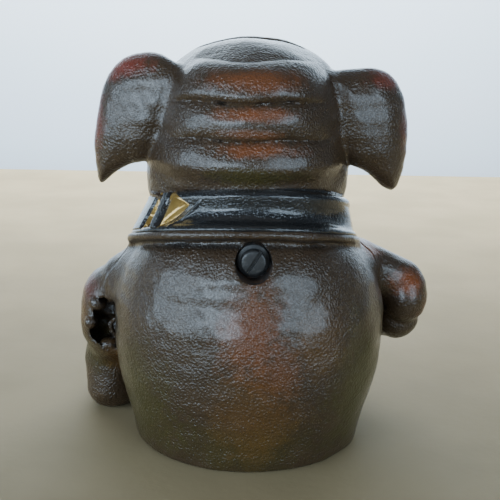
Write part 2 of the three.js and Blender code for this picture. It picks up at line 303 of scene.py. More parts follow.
def flap(outline, middle_y, half_depth, rounding):
    """A sheet like a cushion: an outline in X and Z, whose depth swells inwards from its edge."""
    edge = smooth_curve(outline, 4, closed=True)
    start, end = edge, np.roll(edge, -1, axis=0)
    along = end - start
    lengths = (along**2).sum(axis=1)

    def to_outline(x, z):
        nearest = np.full(len(x), 1e9)
        inside = np.zeros(len(x), bool)
        for (x0, z0), (dx, dz), length in zip(start, along, lengths):
            t = np.clip(((x - x0) * dx + (z - z0) * dz) / length, 0, 1)
            nearest = np.minimum(nearest, (x - x0 - t * dx) ** 2 + (z - z0 - t * dz) ** 2)
            crossing = (z0 > z) != (z0 + dz > z)
            inside ^= crossing & (x < x0 + (z - z0) * dx / (dz or TINY))
        return np.where(inside, -1, 1) * np.sqrt(nearest)

    def distance(p):
        across = np.maximum(to_outline(p[:, 0], p[:, 2]) + rounding, 0)
        out = p[:, 1] - middle_y(p[:, 0], p[:, 2])
        near = np.hypot(across / rounding, out / half_depth)
        steep = np.hypot(across / rounding**2, out / half_depth**2)
        return f32(egg_distance(near, steep))

    swing = 6  # how far the sheet's middle strays from y = 0
    reach = half_depth + swing
    low, high = edge.min(axis=0), edge.max(axis=0)
    return Form((low[0], -reach, low[1]), (high[0], reach, high[1]), distance)


def step_up(inside, width):
    """0 outside an edge and 1 inside it, over a width."""
    t = np.clip(inside / width, 0, 1)
    return t * t * (3 - 2 * t)


def soft_min(a, b, soft):
    """The nearer of two distances, with the join rounded over a width."""
    if soft <= 0:
        return np.minimum(a, b)
    blend = np.clip(0.5 + 0.5 * (b - a) / soft, 0, 1)
    return b + (a - b) * blend - soft * blend * (1 - blend)


class Clay:
    """The distance from each of many points to the skin of a form that is built up step by step."""

    def __init__(self, points, margin):
        self.points = points
        self.margin = margin
        self.depth = np.full(len(points), FAR, np.float32)

    def near(self, low, high, extra):
        grow = extra + self.margin
        inside = np.all((self.points > low - grow) & (self.points < high + grow), axis=1)
        return np.flatnonzero(inside)

    def add(self, form, soft=0.0):
        spots = self.near(form.low, form.high, soft)
        self.depth[spots] = soft_min(self.depth[spots], form.distance(self.points[spots]), soft)

    def lump(self, centre, radii, soft, turn=(0, 0, 0)):
        self.add(lump(centre, radii, turn), soft)

    def lumps(self, centre, radii, soft, turn=(0, 0, 0)):
        """A lump on the dog's left, and its mirror image on the right."""
        (x, y, z), (a, b, c) = centre, turn
        for side in (1, -1):
            self.lump((side * x, y, z), radii, soft, (a, side * b, side * c))

    def cut(self, form, soft=0.0):
        spots = self.near(form.low, form.high, soft)
        self.depth[spots] = -soft_min(-self.depth[spots], form.distance(self.points[spots]), soft)

    def dent(self, low, high, depth_of):
        """Presses the skin in by depth_of(points), inside a box. A negative depth raises it."""
        spots = self.near(f32(low), f32(high), 0)
        self.depth[spots] += f32(depth_of(self.points[spots]))

    def groove(self, path, width, depth):
        """A soft groove along a line of 3-D points."""
        knots = f32(path)
        low, high = knots.min(axis=0) - 3 * width, knots.max(axis=0) + 3 * width

        def depth_of(p):
            nearest = np.full(len(p), 1e9, np.float32)
            for a, b in zip(knots, knots[1:]):
                t = np.clip((p - a) @ (b - a) / ((b - a) @ (b - a)), 0, 1)
                nearest = np.minimum(nearest, ((p - a - t[:, None] * (b - a)) ** 2).sum(axis=1))
            return depth * np.exp(-nearest / (width * width))

        self.dent(low, high, depth_of)


# ---- The hound's outside ----

def add_body(clay):
    """The body, neck and skull. The number after a form, or after its radii, is how softly it joins."""
    outline = [(-4, 38.4), (0, 39.3), (3, 40.1), (9, 41.6), (18, 44), (28, 46.2), (40, 47.2),
               (50, 46.6), (58, 43.8), (64, 40.4), (70, 36), (75, 30)]
    clay.add(turned(outline, depth=0.97))
    clay.lump((0.5, 2.5, 57), (40, 40.5, 22), 6, (LEAN, 0, 0))  # shoulders
    clay.lump((0, -14, 38), (38.5, 36, 34), 8)  # belly
    clay.lump((0, -21, 61), (27, 23, 17), 9)  # chest
    clay.lump((1.5, -2, 93), (34.3, 33.4, 38), 5, (LEAN, 0, 0))  # neck
    rim = leaning_disc((2.4, 0, COLLAR_Z + 0.6), radius=40.0, half_height=1.3, rounding=1.2)
    clay.add(rim, 2.6)  # the collar stands on it
    clay.lump((0.5, -8, 112.5), (32.5, 37, 25), 5)  # skull
    clay.lump((0, -7, 121.5), (28, 35, 15.4), 6)  # crown


# Rolls of skin behind the skull: the heights of their lower and upper creases, where along that
# height the crest lies, how far it stands out, and how far the creases run to the dog's left and right.
ROLLS = [
    (90, 107, 0.63, 2.4, 23, 21),
    (107, 118.6, 0.45, 2.7, 22, 19),
    (118.6, 131, 0.22, 2.7, 22, 17),
]


def press_neck_rolls(clay):
    """Three rolls with creases between them that die out towards the ears, and a tuck by the collar."""
    tuck_depth, tuck_top, tuck_width = 3.2, 99.0, 6
    back_start, back_width = 4, 16  # the rolls grow from nothing behind this y
    wave, wave_rate, wave_start = 0.45, 0.23, 0.6  # the creases' waviness
    skew, skew_x = 0.00048, 3  # they climb towards the dog's right and fall towards its left

    def raised(p):
        x, z = p[:, 0], p[:, 2]
        aside = x - skew_x
        level = z + wave * np.sin(x * wave_rate + wave_start) + skew * aside**2 * np.sign(aside)
        total = np.zeros(len(p))
        for low, high, crest, height, left, right in ROLLS:
            t = np.clip((level - low) / (high - low), 0, 1)
            share = np.where(t < crest, 0.5 * t / crest, 0.5 + 0.5 * (t - crest) / (1 - crest))
            lobe = np.sqrt(np.clip(1 - (2 * share - 1) ** 2, 0, 1))
            reach = np.where(x > 0, x / left, -x / right)
            fade = step_up(1.5 - reach, 0.75)
            total += height * lobe * fade
        tuck = tuck_depth * step_up(tuck_top - z, tuck_width)
        return (tuck - total) * step_up(p[:, 1] - back_start, back_width)

    clay.dent((-40, 4, 90), (40, 46, 132), raised)


def add_ears(clay):
    """Drop ears. The dog's left one is the higher, with a sharper tip."""
    left = [(23.5, 126), (28, 131.2), (34.5, 133), (42.7, 131.2), (48.5, 125.4), (51.3, 118.5),
            (53, 110.3), (53.9, 102), (53.6, 94), (52, 88), (46.8, 92.4), (41.3, 95.6), (36, 97.2),
            (31, 104), (26.5, 114)]
    right = [(-24, 126), (-27.5, 128.2), (-33, 128.6), (-40.6, 129), (-47, 126.4), (-51.2, 119.5),
             (-53.2, 110.5), (-53.4, 102), (-52.8, 95), (-51.6, 89.4), (-49.4, 87), (-46.2, 88.2),
             (-42.4, 91.6), (-38, 95.2), (-33.5, 97.6), (-29.5, 104), (-26, 114)]

    def middle_y(x, z):
        """The ears lie back by the skull and come forward towards their edge and their tip."""
        return 6.4 - 0.34 * (np.abs(x) - 26) - 0.004 * (z - 114) ** 2

    for outline in (left, right):
        clay.add(flap(outline, middle_y, half_depth=7.4, rounding=9.5), 2.6)


EYE_X, EYE_Y, EYE_Z = 14.2, -46.4, 110.6


def add_face(clay):
    """A generic hound's face."""
    clay.lumps((22, -27, 102), (13, 15.5, 16), 6)  # cheeks
    clay.lump((0, -41, 102), (19.5, 15, 13.5), 6)  # muzzle
    clay.lump((0, -45, 91.5), (13.5, 11, 7), 4)  # lower jaw
    clay.lumps((18, -40.5, 93.5), (8.2, 11, 10.5), 3, (0, -14, 0))  # jowls
    clay.lumps((8.8, -50.5, 99.5), (9.8, 9, 8.8), 1.6, (0, 14, 12))  # lips
    clay.lump((0, -47.5, 110.5), (7.5, 9, 5.5), 4)  # bridge
    clay.lump((0, -58, 107.3), (6.9, 4.6, 4.9), 1.2)  # nose
    clay.lumps((13.8, -39.5, 120.5), (10.5, 7.5, 5), 3.5, (0, 18, 0))  # brows
    clay.lump((0, -42.5, 121), (4.2, 5.5, 7), 3)  # fold between the brows
    clay.lumps((13.5, -45.6, 113.2), (5.6, 3.4, 4.4), 3)  # eyelids
    clay.lumps((15.5, -43.5, 107.6), (9, 5.5, 3.2), 2.5, (0, -16, 0))  # eye bags
    clay.lumps((EYE_X, EYE_Y, EYE_Z), (4.2, 3.7, 3.5), 0.3)
    for side in (1, -1):
        clay.cut(lump((side * 3.4, -62, 106.6), (1.5, 2.6, 1.2), (0, side * 20, 0)), 0.8)  # nostril
        for rise in (0, 5):
            wrinkle = [(side * x, -43.5 + 0.012 * x * x, 127.5 + rise - 0.02 * x * x)
                       for x in (1.5, 6, 11, 16)]
            clay.groove(wrinkle, width=1.5, depth=0.9)
        fold = [(side * 7, -58, 112.5), (side * 12.5, -54, 109.5), (side * 18, -49, 104.5)]
        clay.groove(fold, width=1.2, depth=1.0)
    cleft = [(0, -62.5, 103), (0, -60.5, 98), (0, -57, 93.5)]
    clay.groove(cleft, width=0.9, depth=1.4)
    for side in (1, -1):
        for x, z in ((7, 101), (10, 99), (7.5, 97.4), (11.5, 102.2)):
            low, high = (side * x - 2, -66, z - 2), (side * x + 2, -52, z + 2)
            clay.dent(low, high, whisker_dot(side * x, z))


def whisker_dot(x, z):
    """A small pit in the lip."""
    depth, spread = 0.55, 0.45
    return lambda p: depth * np.exp(-((p[:, 0] - x) ** 2 + (p[:, 2] - z) ** 2) / spread)


def add_left_foreleg(clay):
    """It stands on the floor. Its back is open into a rough hollow behind the elbow."""
    clay.add(rod((35, -6, 57), (42, -9, 51), 11, 11), 6)
    clay.add(rod((42.5, -11, 51), (49, -15, 44.5), 10, 10.8), 4)
    clay.lump((50, -16, 37), (12, 14, 17.6), 4)
    clay.add(rod((51.2, -19.6, 20), (51.2, -20.2, 8), 9.7, 9.6), 3.4)
    clay.lump((50.8, -30, 7.5), (9.6, 14, 9.4), 3)
    for n in (-1, 0, 1):  # toes
        knuckle, tip = (50.4 + 5.8 * n, -34, 6.4), (50.4 + 6.3 * n, -43.5 + abs(n) * 1.8, 4.6)
        clay.add(rod(knuckle, tip, 3.9, 4.2), 1.2)


def hollow_left_elbow(clay):
    """A ragged hollow with lumps round its edge and a thin hook of iron across it."""
    clay.cut(lump((50.6, -8.6, 40.4), (5.6, 10, 7.6)), 1.0)
    clay.cut(lump((49.8, -8.6, 33.2), (5.2, 10, 6.8)), 1.0)
    clay.cut(lump((53.4, -9.6, 33.6), (4.2, 10, 4.6)), 1.0)
    clay.lump((54.2, -6.4, 44.2), (3.4, 3.4, 2.8), 0.5, (0, -30, 0))
    clay.lump((56.8, -6.2, 37.2), (2.2, 3.2, 2.4), 0.5)
    clay.lump((50.2, -7.6, 28.4), (3.6, 3.2, 2.2), 0.5)
    clay.cut(lump((48.6, 5, 41), (3.0, 11, 6.2), (0, 0, -14)), 1.4)  # beside the body
    hook = [(46.2, -8.6, 37.4), (48.6, -8.4, 37.6), (50.2, -8.8, 35.6), (49.8, -9.4, 32.6),
            (48.4, -9.8, 30.4)]
    for a, b in zip(hook, hook[1:]):
        clay.add(rod(a, b, 0.9, 0.9), 0.4)


def add_right_foreleg(clay):
    """It is bent, with its paw laid on the belly."""
    clay.lump((-35, -9, 58), (12.5, 12.5, 11.5), 4)
    clay.add(rod((-40.5, -12.5, 59.2), (-55.5, -15.5, 51), 8.2, 9.2), 2)
    clay.lump((-57.6, -15.5, 46.4), (9, 11.2, 11.2), 2.2)
    clay.add(rod((-56.4, -18, 37), (-50, -27, 36.5), 8.4, 8), 0.8)
    clay.add(rod((-52, -24, 37), (-33, -43, 40), 8.2, 8), 3)
    clay.lump((-28, -47.5, 41.5), (10.5, 7.5, 9), 3, (0, 0, -22))
    for n in (-1, 0, 1):  # toes
        clay.add(rod((-25, -51.5, 41.8 + n * 5), (-18.5, -52.5, 42.5 + n * 5.2), 3.1, 3.3), 1.0)
    elbow_fold = [(-50, -6.5, 37.4), (-55, -5.4, 37), (-60, -6.5, 37.2), (-65.5, -12, 37.8)]
    clay.groove(elbow_fold, width=1.0, depth=1.2)


def add_hind_legs(clay):
    clay.lumps((25, -30, 19), (18, 21, 17.5), 5)
    clay.lumps((24, -50, 8.5), (11.4, 16, 10.4), 4)
    for n in (-1, 0, 1):
        for foot in (24, -24):
            toe = rod((foot + 6.4 * n, -56, 8), (foot + 7 * n, -66 + abs(n) * 2, 6.6), 4.4, 4.8)
            clay.add(toe, 1.3)
    for side in (1, -1):
        thigh_fold = [(side * 36, -26, 34), (side * 26, -46, 26), (side * 14, -46, 15)]
        clay.groove(thigh_fold, width=1.4, depth=0.8)


def waviness(points):
    """The slight unevenness of a sand casting, in mm."""
    seed, ways = 7, 3
    waves = ((19, 0.09), (11, 0.055), (6, 0.03), (3.6, 0.014))  # length and height
    dice = np.random.default_rng(seed)
    total = np.zeros(len(points), np.float32)
    for size, height in waves:
        for _ in range(ways):
            way = dice.normal(size=3)
            way *= 2 * math.pi / size / np.linalg.norm(way)
            total += height * np.sin(points @ f32(way) + dice.uniform(0, 2 * math.pi))
    return total


def outside(points, margin):
    """The depth of points under the hound's skin, as if it were solid."""
    clay = Clay(points, margin)
    add_body(clay)
    add_ears(clay)
    press_neck_rolls(clay)
    add_face(clay)
    add_left_foreleg(clay)
    add_right_foreleg(clay)
    add_hind_legs(clay)
    hollow_left_elbow(clay)
    clay.depth += waviness(points)
    base_rounding = 1.6
    return -soft_min(-clay.depth, points[:, 2], base_rounding)


# ---- The inside, and the two castings ----

def chamber(points, margin):
    """The room for coins."""
    clay = Clay(points, margin)
    outline = [(WALL, 34.6), (9, 37.6), (18, 40.4), (28, 42.6), (40, 43.6), (50, 43), (58, 40.6),
               (64, 37.4), (72, 30)]
    clay.add(turned(outline, depth=0.96))
    clay.lump((0, -13, 38), (33.5, 32, 30), 4)  # belly
    clay.lump((0, -2, 84), (27, 27, 32), 6, (LEAN, 0, 0))  # neck
    clay.lump((0, -8, 112), (28, 32.5, 21.8), 4)  # skull
    clay.depth = -soft_min(-clay.depth, points[:, 2] - WALL, 3)  # the floor of the chamber
    elsewhere, share = 40, 0.8  # so that its unevenness does not follow the outside's
    return clay.depth + share * waviness(points + elsewhere)


def casting(points, margin, rear):
    """The front or the rear casting: the hound less the room for coins, with a post for the screw."""
    skin_y, past_y = 60, 80  # somewhere beyond the skin, and further out
    room = Clay(points, margin)
    room.depth = chamber(points, margin)
    post_ends = (SPLIT_Y, skin_y) if rear else (-skin_y, SPLIT_Y)
    room.cut(bar(POST_RADIUS, *post_ends), 2.5)
    y = points[:, 1]
    side = SPLIT_Y + HALF_GAP - y if rear else y - SPLIT_Y + HALF_GAP
    clay = Clay(points, margin)
    clay.depth = -soft_min(-outside(points, margin), room.depth, 0.6)
    clay.depth = -soft_min(-clay.depth, -side, 0.5)
    if rear:
        clay.cut(bar(RECESS_RADIUS, RECESS_FLOOR_Y, past_y), 0.5)
        clay.cut(bar(HOLE_RADIUS, -40, past_y), 0.3)
    else:
        add_lugs(clay)
        clay.cut(bar(HOLE_RADIUS, -19, 20), 0.3)
        room_above, clearance = 7, Vector((0.3, 0.3, 0.3))
        nut_low, nut_high = NUT_LOW - clearance, NUT_HIGH + clearance
        clay.cut(brick(nut_low, (nut_high.x, nut_high.y, NUT_HIGH.z + room_above)))
    half_length, half_width, slot_floor, slot_top = SLOT_LENGTH / 2, SLOT_WIDTH / 2, 118, 160
    clay.cut(brick((-half_length, SPLIT_Y - half_width, slot_floor),
                   (half_length, SPLIT_Y + half_width, slot_top), 1.2), 0.9)
    return clay.depth


def add_lugs(clay):
    """Tongues of the front casting that reach into the rear one, each on a root of its own."""
    start, low, high, rounding = -12, 27, 35, 0.8
    for side in (1, -1):
        for inner, outer, end, soft in ((36.5, 40.4, 1.5, 0), (37, 43.5, SPLIT_Y - 1.5, 1)):
            x0, x1 = sorted((side * inner, side * outer))
            clay.add(brick((x0, start, low), (x1, end, high), rounding), soft)


# ---- From a distance field to a mesh ----

def sample_field(field, low, high, cell):
    """The field on a grid, worked out only in the blocks that its skin may pass through."""
    block, batch = 8, 600
    counts = [int(math.ceil((h - l) / cell / block)) for l, h in zip(low, high)]
    lattice = lambda *sides: np.indices(sides).reshape(3, -1).T
    centres = lattice(*counts)
    middle = f32(np.asarray(low) + (centres + 0.5) * block * cell)
    half_diagonal = block * cell * math.sqrt(3) / 2
    at_centre = field(middle, 2 * half_diagonal)
    grid = np.sign(at_centre).reshape(counts) * FAR
    grid = grid.repeat(block, 0).repeat(block, 1).repeat(block, 2)
    grid = f32(np.pad(grid, (0, 1), mode="edge"))
    kept = centres[np.abs(at_centre) < 1.5 * half_diagonal]
    steps = lattice(block + 1, block + 1, block + 1)
    for start in range(0, len(kept), batch):
        index = (kept[start:start + batch, None] * block + steps).reshape(-1, 3)
        grid[tuple(index.T)] = field(f32(np.asarray(low) + index * cell), MARGIN)
    return grid


def surface_nets(grid, low, cell):
    """A quad mesh with one vertex in each cell that the skin passes through."""
    inside = grid < 0
    shape = np.array(grid.shape) - 1
    corners = np.array([(x, y, z) for x in (0, 1) for y in (0, 1) for z in (0, 1)])
    steps = np.eye(3, dtype=int)
    view = lambda a, corner: a[tuple(slice(c, c + n) for c, n in zip(corner, shape))]
    count = sum(view(inside, corner).astype(np.int8) for corner in corners)
    cells = np.argwhere((count > 0) & (count < 8))
    number = np.full(shape, -1, np.int64)
    number[tuple(cells.T)] = np.arange(len(cells))
    total = np.zeros((len(cells), 3))
    crossings = np.zeros(len(cells))
    for corner in corners:
        for step in steps[corner == 0]:
            here, there = grid[tuple((cells + corner).T)], grid[tuple((cells + corner + step).T)]
            crossed = (here < 0) != (there < 0)
            t = here[crossed] / (here - there)[crossed]
            total[crossed] += corner + t[:, None] * step
            crossings += crossed
    vertices = np.asarray(low) + (cells + total / crossings[:, None]) * cell
    quads = []
    for axis in range(3):
        u, v = (axis + 1) % 3, (axis + 2) % 3
        edges = np.argwhere(np.diff(inside, axis=axis))
        across = edges[:, [u, v]]
        edges = edges[((across > 0) & (across < shape[[u, v]])).all(axis=1)]
        around = [edges - steps[u] - steps[v], edges - steps[v], edges, edges - steps[u]]
        quad = np.stack([number[tuple(c.T)] for c in around], 1)
        flip = ~inside[tuple(edges.T)]
        quad[flip] = quad[flip][:, ::-1]
        quads.append(quad)
    return vertices, np.vstack(quads)


def settle(vertices, quads, field):
    """Evens the mesh out and then draws it exactly onto the skin."""
    reach = 0.06
    least_slope, longest_move = 0.2, 0.6 * CELL
    shifts = reach * np.eye(3, dtype=np.float32)
    edges = np.vstack([quads[:, [k, (k + 1) % 4]] for k in range(4)])
    for relax in (0.5, 0):
        if relax:
            total = np.zeros_like(vertices)
            count = np.zeros(len(vertices))
            for a, b in ((0, 1), (1, 0)):
                for k in range(3):
                    total[:, k] += np.bincount(edges[:, a], vertices[edges[:, b], k], len(vertices))
                count += np.bincount(edges[:, a], minlength=len(vertices))
            vertices = vertices + relax * (total / count[:, None] - vertices)
        points = f32(vertices)
        here = field(points, MARGIN)
        slope = np.stack([field(points + shift, MARGIN) - here for shift in shifts], 1) / reach
        size = np.maximum((slope**2).sum(axis=1), least_slope)
        move = np.clip(here / size, -longest_move, longest_move)
        vertices = vertices - move[:, None] * slope
    return vertices


def store_number(piece, name, values):
    """Keeps a number for each vertex, which the materials read."""
    layer = piece.data.attributes.new(name, "FLOAT", "POINT")
    layer.data.foreach_set("value", f32(values))


def make_casting(name, rear, low, high):
    """Also stores how deep in a crease each spot lies, for the painted shade there, and how far inside
    the paint it is.
    """
    reach, open_most = 3.0, 1.2
    paint_edge = 0.8
    field = lambda points, margin: casting(points, margin, rear)
    grid = sample_field(field, low, high, CELL)
    vertices, quads = surface_nets(grid, low, CELL)
    vertices = settle(vertices, quads, field)
    piece = add_mesh(name, (vertices * MM).tolist(), quads.tolist())
    piece.data.set_sharp_from_angle(angle=math.radians(50))
    points = f32(vertices)
    normals = np.empty(points.size, np.float32)
    piece.data.vertices.foreach_get("normal", normals)
    ahead = outside(points + reach * normals.reshape(-1, 3), 2 * reach)
    store_number(piece, "crease_shade", 1 - np.clip(ahead / reach, 0, open_most))
    store_number(piece, "bare", np.clip(-outside(points, 2 * reach) / paint_edge - 0.5, 0, 1))
    return piece


# ---- Rings: closed meshes with rows that run round an axis ----

def ring(name, rows, place, capped=False):
    """Rows of points round an axis, joined into a closed mesh. Capped rows end in a flat face."""
    rows = np.asarray(rows, float)
    count, around = rows.shape[:2]
    turn = np.arange(around)
    after = (turn + 1) % around
    faces = []
    for row in range(count - 1 if capped else count):
        here, there = row * around, ((row + 1) % count) * around
        faces.append(np.stack([here + turn, here + after, there + after, there + turn], 1))
    faces = [tuple(face) for face in np.vstack(faces)]
    if capped:
        faces.append(tuple(turn[::-1]))
        faces.append(tuple((count - 1) * around + turn))
    piece = add_mesh(name, [place(Vector(point)) * MM for point in rows.reshape(-1, 3)], faces)
    make_outward(piece)
    return piece


def turns(around):
    return np.arange(around) * 2 * math.pi / around


def round_row(radius, angle, height):
    level = np.broadcast_to(height, len(angle))
    return np.stack([radius * np.cos(angle), radius * np.sin(angle), level], -1)


def thread_phase(height, angle):
    """Where a point lies between one crest of a right-hand thread and the next, from 0 to 1."""
    return (height / THREAD_PITCH + angle / (2 * math.pi)) % 1


def make_outward(piece):
    form = bmesh.new()
    form.from_mesh(piece.data)
    bmesh.ops.recalc_face_normals(form, faces=form.faces)
    form.to_mesh(piece.data)
    form.free()


# ---- The collar ----

NECK_X = 2.5  # the collar's foot stands this far towards the dog's left
NECK_DRIFT = -0.15  # and its axis moves back by this for each mm of height
NARROWING = 0.057  # share of its width that it loses at the top
PLATE_CENTRE = 88.5  # degrees round from the back, towards the dog's left
PLATE_HALF = 17.4  # half lengths along the band, in mm
STRIPE = (18.3, 19.8)
CROSSBAR = (22.2, 26.5)
FACET = (26.8, 36.2)
EDGE_SLANT = 0.2  # the crossbar and the facet lean by this for each mm of height
SLANT_Z = 9  # the height at which they stand at their measured place
FACET_TIP_Z = 10.3
PIT = (33.4, 10.2)  # place and height of a small pit in each facet
BORDER_FOOT = (32.8, 3.5)  # where the raised line round each facet starts
BORDER_END = 41
TRIM_LOW_Z, TRIM_HIGH_Z = 2.6, 15.3
CONE_FOOT, CONE_TAPER = 39.3, 2.7  # the radius that the plate is set on, and what it loses at the top
BAND_HEIGHT = 13


def to_neck(point):
    """From the collar's own frame, with its axis on Z, to the dog's."""
    narrow = 1 - NARROWING * min(max(point.z / BAND_HEIGHT, 0), 1)
    level = Vector((point.x * narrow + NECK_X + NECK_DRIFT * point.z, point.y, point.z))
    return Matrix.Rotation(math.radians(LEAN), 3, "X") @ level + Vector((0, 0, COLLAR_Z))


def collar_trim(angle, height):
    """How far out the side plate's parts reach, how deep a point is inside them and inside the gold,
    and the height of the raised line that borders each facet."""
    cone = CONE_FOOT - CONE_TAPER * (height - TRIM_LOW_Z) / (TRIM_HIGH_Z - TRIM_LOW_Z)
    along = np.abs((angle - PLATE_CENTRE + 180) % 360 - 180) * math.radians(1) * cone
    slanted = along + EDGE_SLANT * (height - SLANT_Z)
    level = np.minimum(height - TRIM_LOW_Z, TRIM_HIGH_Z - height)
    within = lambda place, span: np.minimum(np.minimum(place - span[0], span[1] - place), level)
    plate = np.minimum(PLATE_HALF - along, level)
    stripe = within(along, STRIPE)
    crossbar = within(slanted, CROSSBAR)
    share = (slanted - FACET[0]) / (FACET[1] - FACET[0])
    top = TRIM_HIGH_Z + (FACET_TIP_Z - TRIM_HIGH_Z) * share
    bottom = TRIM_LOW_Z + (FACET_TIP_Z - TRIM_LOW_Z) * share
    squareness = 0.78  # distance to a sloping edge, per mm of height
    facet = np.minimum(slanted - FACET[0], squareness * np.minimum(top - height, height - bottom))
    pit = 0.5 * np.exp(-((np.hypot(along - PIT[0], height - PIT[1]) / 0.35) ** 2))
    raised = np.maximum.reduce([
        (cone + 0.5) * step_up(plate, 0.7),
        (cone + 0.1) * step_up(stripe, 0.45),
        (cone + 0.7) * step_up(crossbar, 0.7),
        (cone - 0.5 + 0.6 * step_up(facet, 1.8) - pit) * step_up(facet, 0.4),
    ])
    inside = np.maximum.reduce([plate, stripe, crossbar, facet])
    line = height - BORDER_FOOT[1] - (along - BORDER_FOOT[0])
    ends = step_up(along - BORDER_FOOT[0] + 0.6, 1) * step_up(BORDER_END - along, 2)
    return raised, inside, np.maximum(stripe, facet), 0.8 * np.exp(-((line / 0.65) ** 2)) * ends


def make_collar():
    """A band on the castings' rim: a ridge at its foot, a sweep that is filled at the sides, and a roll
    under its top edge."""
    outline = [(31, 1.3), (38.2, 1.2), (39.1, 1.6), (39.5, 2.2), (39.3, 3.0), (38.4, 3.8), (37.0, 4.7),
               (36.0, 6.0), (35.6, 7.8), (35.9, 9.6), (36.7, 11.4), (37.1, 12.8), (36.6, 14.0),
               (35.4, 14.8), (34.6, 15.2), (34.3, 15.8), (33.6, 16.1), (31.0, 15.4)]
    inner_radius, fill_most = 32, 3
    profile = smooth_curve(outline, 7)
    around = 720
    degrees = np.repeat((np.arange(around) * 360 / around)[None], len(profile), 0)
    radius = np.repeat(profile[:, :1], around, 1)
    height = np.repeat(profile[:, 1:], around, 1)
    raised, inside, gold, border = collar_trim(degrees, height)
    angle = np.radians(degrees)
    uneven = 0.05 * np.sin(angle * 7 + height * 0.5) + 0.03 * np.sin(angle * 17 - height)
    shown = radius > inner_radius
    beside = step_up(np.abs(np.sin(angle)) - 0.75, 0.25)
    filled = np.minimum(39.2 - 0.2 * height - radius, fill_most)
    sweep = shown & (height < 12) & (height > 2)
    radius = radius + np.where(sweep, beside * np.maximum(filled, 0), 0)
    radius = np.where(shown, radius + border + uneven, radius)
    radius = np.where(shown & (raised > radius), raised, radius)
    rows = np.stack([radius * np.sin(angle), radius * np.cos(angle), height], -1)
    band = ring("collar_band", rows, to_neck)
    store_number(band, "gold", np.where(shown, gold, -5).ravel())
    shadow = 1.2  # width of the dark line round the plate's parts
    crease_shade = np.clip(1 - (inside + shadow) / shadow, 0, 1) * np.clip((inside + shadow) / 0.9, 0, 1)
    store_number(band, "crease_shade", np.where(shown, crease_shade, 1).ravel())
    return band


def keep_side(whole, name, front):
    """The part of a piece on one side of the parting plane, closed with a flat face."""
    piece = add_object(name, whole.data.copy())
    form = bmesh.new()
    form.from_mesh(piece.data)
    gap = HALF_GAP + 0.04
    split_y = SPLIT_Y + (-gap if front else gap)
    bmesh.ops.bisect_plane(form, geom=form.verts[:] + form.edges[:] + form.faces[:],
                           plane_co=(0, split_y * MM, 0), plane_no=(0, 1, 0),
                           clear_outer=front, clear_inner=not front)
    edges = [edge for edge in form.edges if edge.is_boundary]
    caps = bmesh.ops.holes_fill(form, edges=edges, sides=0)["faces"]
    for face in caps:
        face.smooth = False
    bmesh.ops.triangulate(form, faces=caps)
    bmesh.ops.recalc_face_normals(form, faces=form.faces)
    form.to_mesh(piece.data)
    form.free()
    return piece


# ---- Screw, washer and nut ----

THREAD_PITCH = 25.4 / 24
THREAD_MAJOR, THREAD_MINOR = 2.4, 1.84  # radii
NUT_MINOR, NUT_THREAD = 2.12, 0.38  # the nut's bore, and how far its thread is cut outwards
DRIVER_SLOT_WIDTH = 1.15
DRIVER_SLOT_DEPTH = 1.5
DRIVER_SLOT_TURN = -32  # degrees from upright


def to_screw(point):
    """From a piece built along +Z to the screw's axis, where +Z points out of the dog's back."""
    return Vector((-point.x, point.z, point.y)) + Vector((SCREW_X, 0, SCREW_Z))


def circle_rows(profile, around):
    """Round rows from (radius, height) points."""
    return np.array([round_row(radius, turns(around), height) for radius, height in profile])


def subtract(piece, cutter):
    """Cuts a closed piece away from another."""
    cut = piece.modifiers.new("cut", "BOOLEAN")
    cut.operation = "DIFFERENCE"
    cut.solver = "EXACT"
    cut.object = cutter
    made = bpy.data.meshes.new_from_object(piece.evaluated_get(bpy.context.evaluated_depsgraph_get()))
    piece.modifiers.clear()
    piece.data = made
    bpy.data.objects.remove(cutter)
    made.name = piece.name


def make_screw():
    """A threaded shank, and a cheese head with rounded edges and a slot across it."""
    tip, head_top = SCREW_LOW.y, SCREW_HIGH.y
    head_foot = WASHER_HIGH.y + 2 * HALF_GAP
    around, steps_per_turn = ((40, 10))
    angle = turns(around)
    rows = []
    steps = int((head_foot - tip) / THREAD_PITCH * steps_per_turn)
    for height in np.linspace(tip, head_foot, steps):
        phase = thread_phase(height, angle)
        crest = np.clip(2.3 * (1 - np.abs(2 * phase - 1)) - 0.65, 0, 1)
        fade = np.clip((height - tip) / 1.6, 0.15, 1) * np.clip((head_foot - 2 - height) / 1.2, 0, 1)
        core = THREAD_MINOR * np.clip(0.72 + (height - tip) / 3, 0.72, 1)
        rows.append(round_row(core + (THREAD_MAJOR - THREAD_MINOR) * crest * fade, angle, height))
    foot_edge = [(0.35, 0), (0.08, 0.1), (0, 0.35)]
    top_edge = [(0, -0.75), (0.06, -0.5), (0.22, -0.25), (0.5, -0.09), (1.0, -0.03)]
    head = [(HEAD_RADIUS - inset, head_foot + rise) for inset, rise in foot_edge]
    head += [(HEAD_RADIUS - inset, head_top + rise) for inset, rise in top_edge]
    head += [(1.6, head_top), (0.5, head_top)]
    screw = ring("slotted_screw", np.vstack([rows, circle_rows(head, around)]), to_screw, capped=True)
    half, past_edge, above = DRIVER_SLOT_WIDTH / 2, 9, 3
    floor = head_top - DRIVER_SLOT_DEPTH
    corners = [(x, y, z) for x in (-half, half) for y in (-past_edge, past_edge)
               for z in (floor, head_top + above)]
    spin = Matrix.Rotation(math.radians(DRIVER_SLOT_TURN), 3, "Z")
    faces = [(0, 1, 3, 2), (4, 6, 7, 5), (0, 4, 5, 1), (2, 3, 7, 6), (0, 2, 6, 4), (1, 5, 7, 3)]
    cutter = add_mesh("slot_cutter", [to_screw(spin @ Vector(c)) * MM for c in corners], faces)
    make_outward(cutter)
    subtract(screw, cutter)
    screw.data.set_sharp_from_angle(angle=math.radians(38))
    return screw


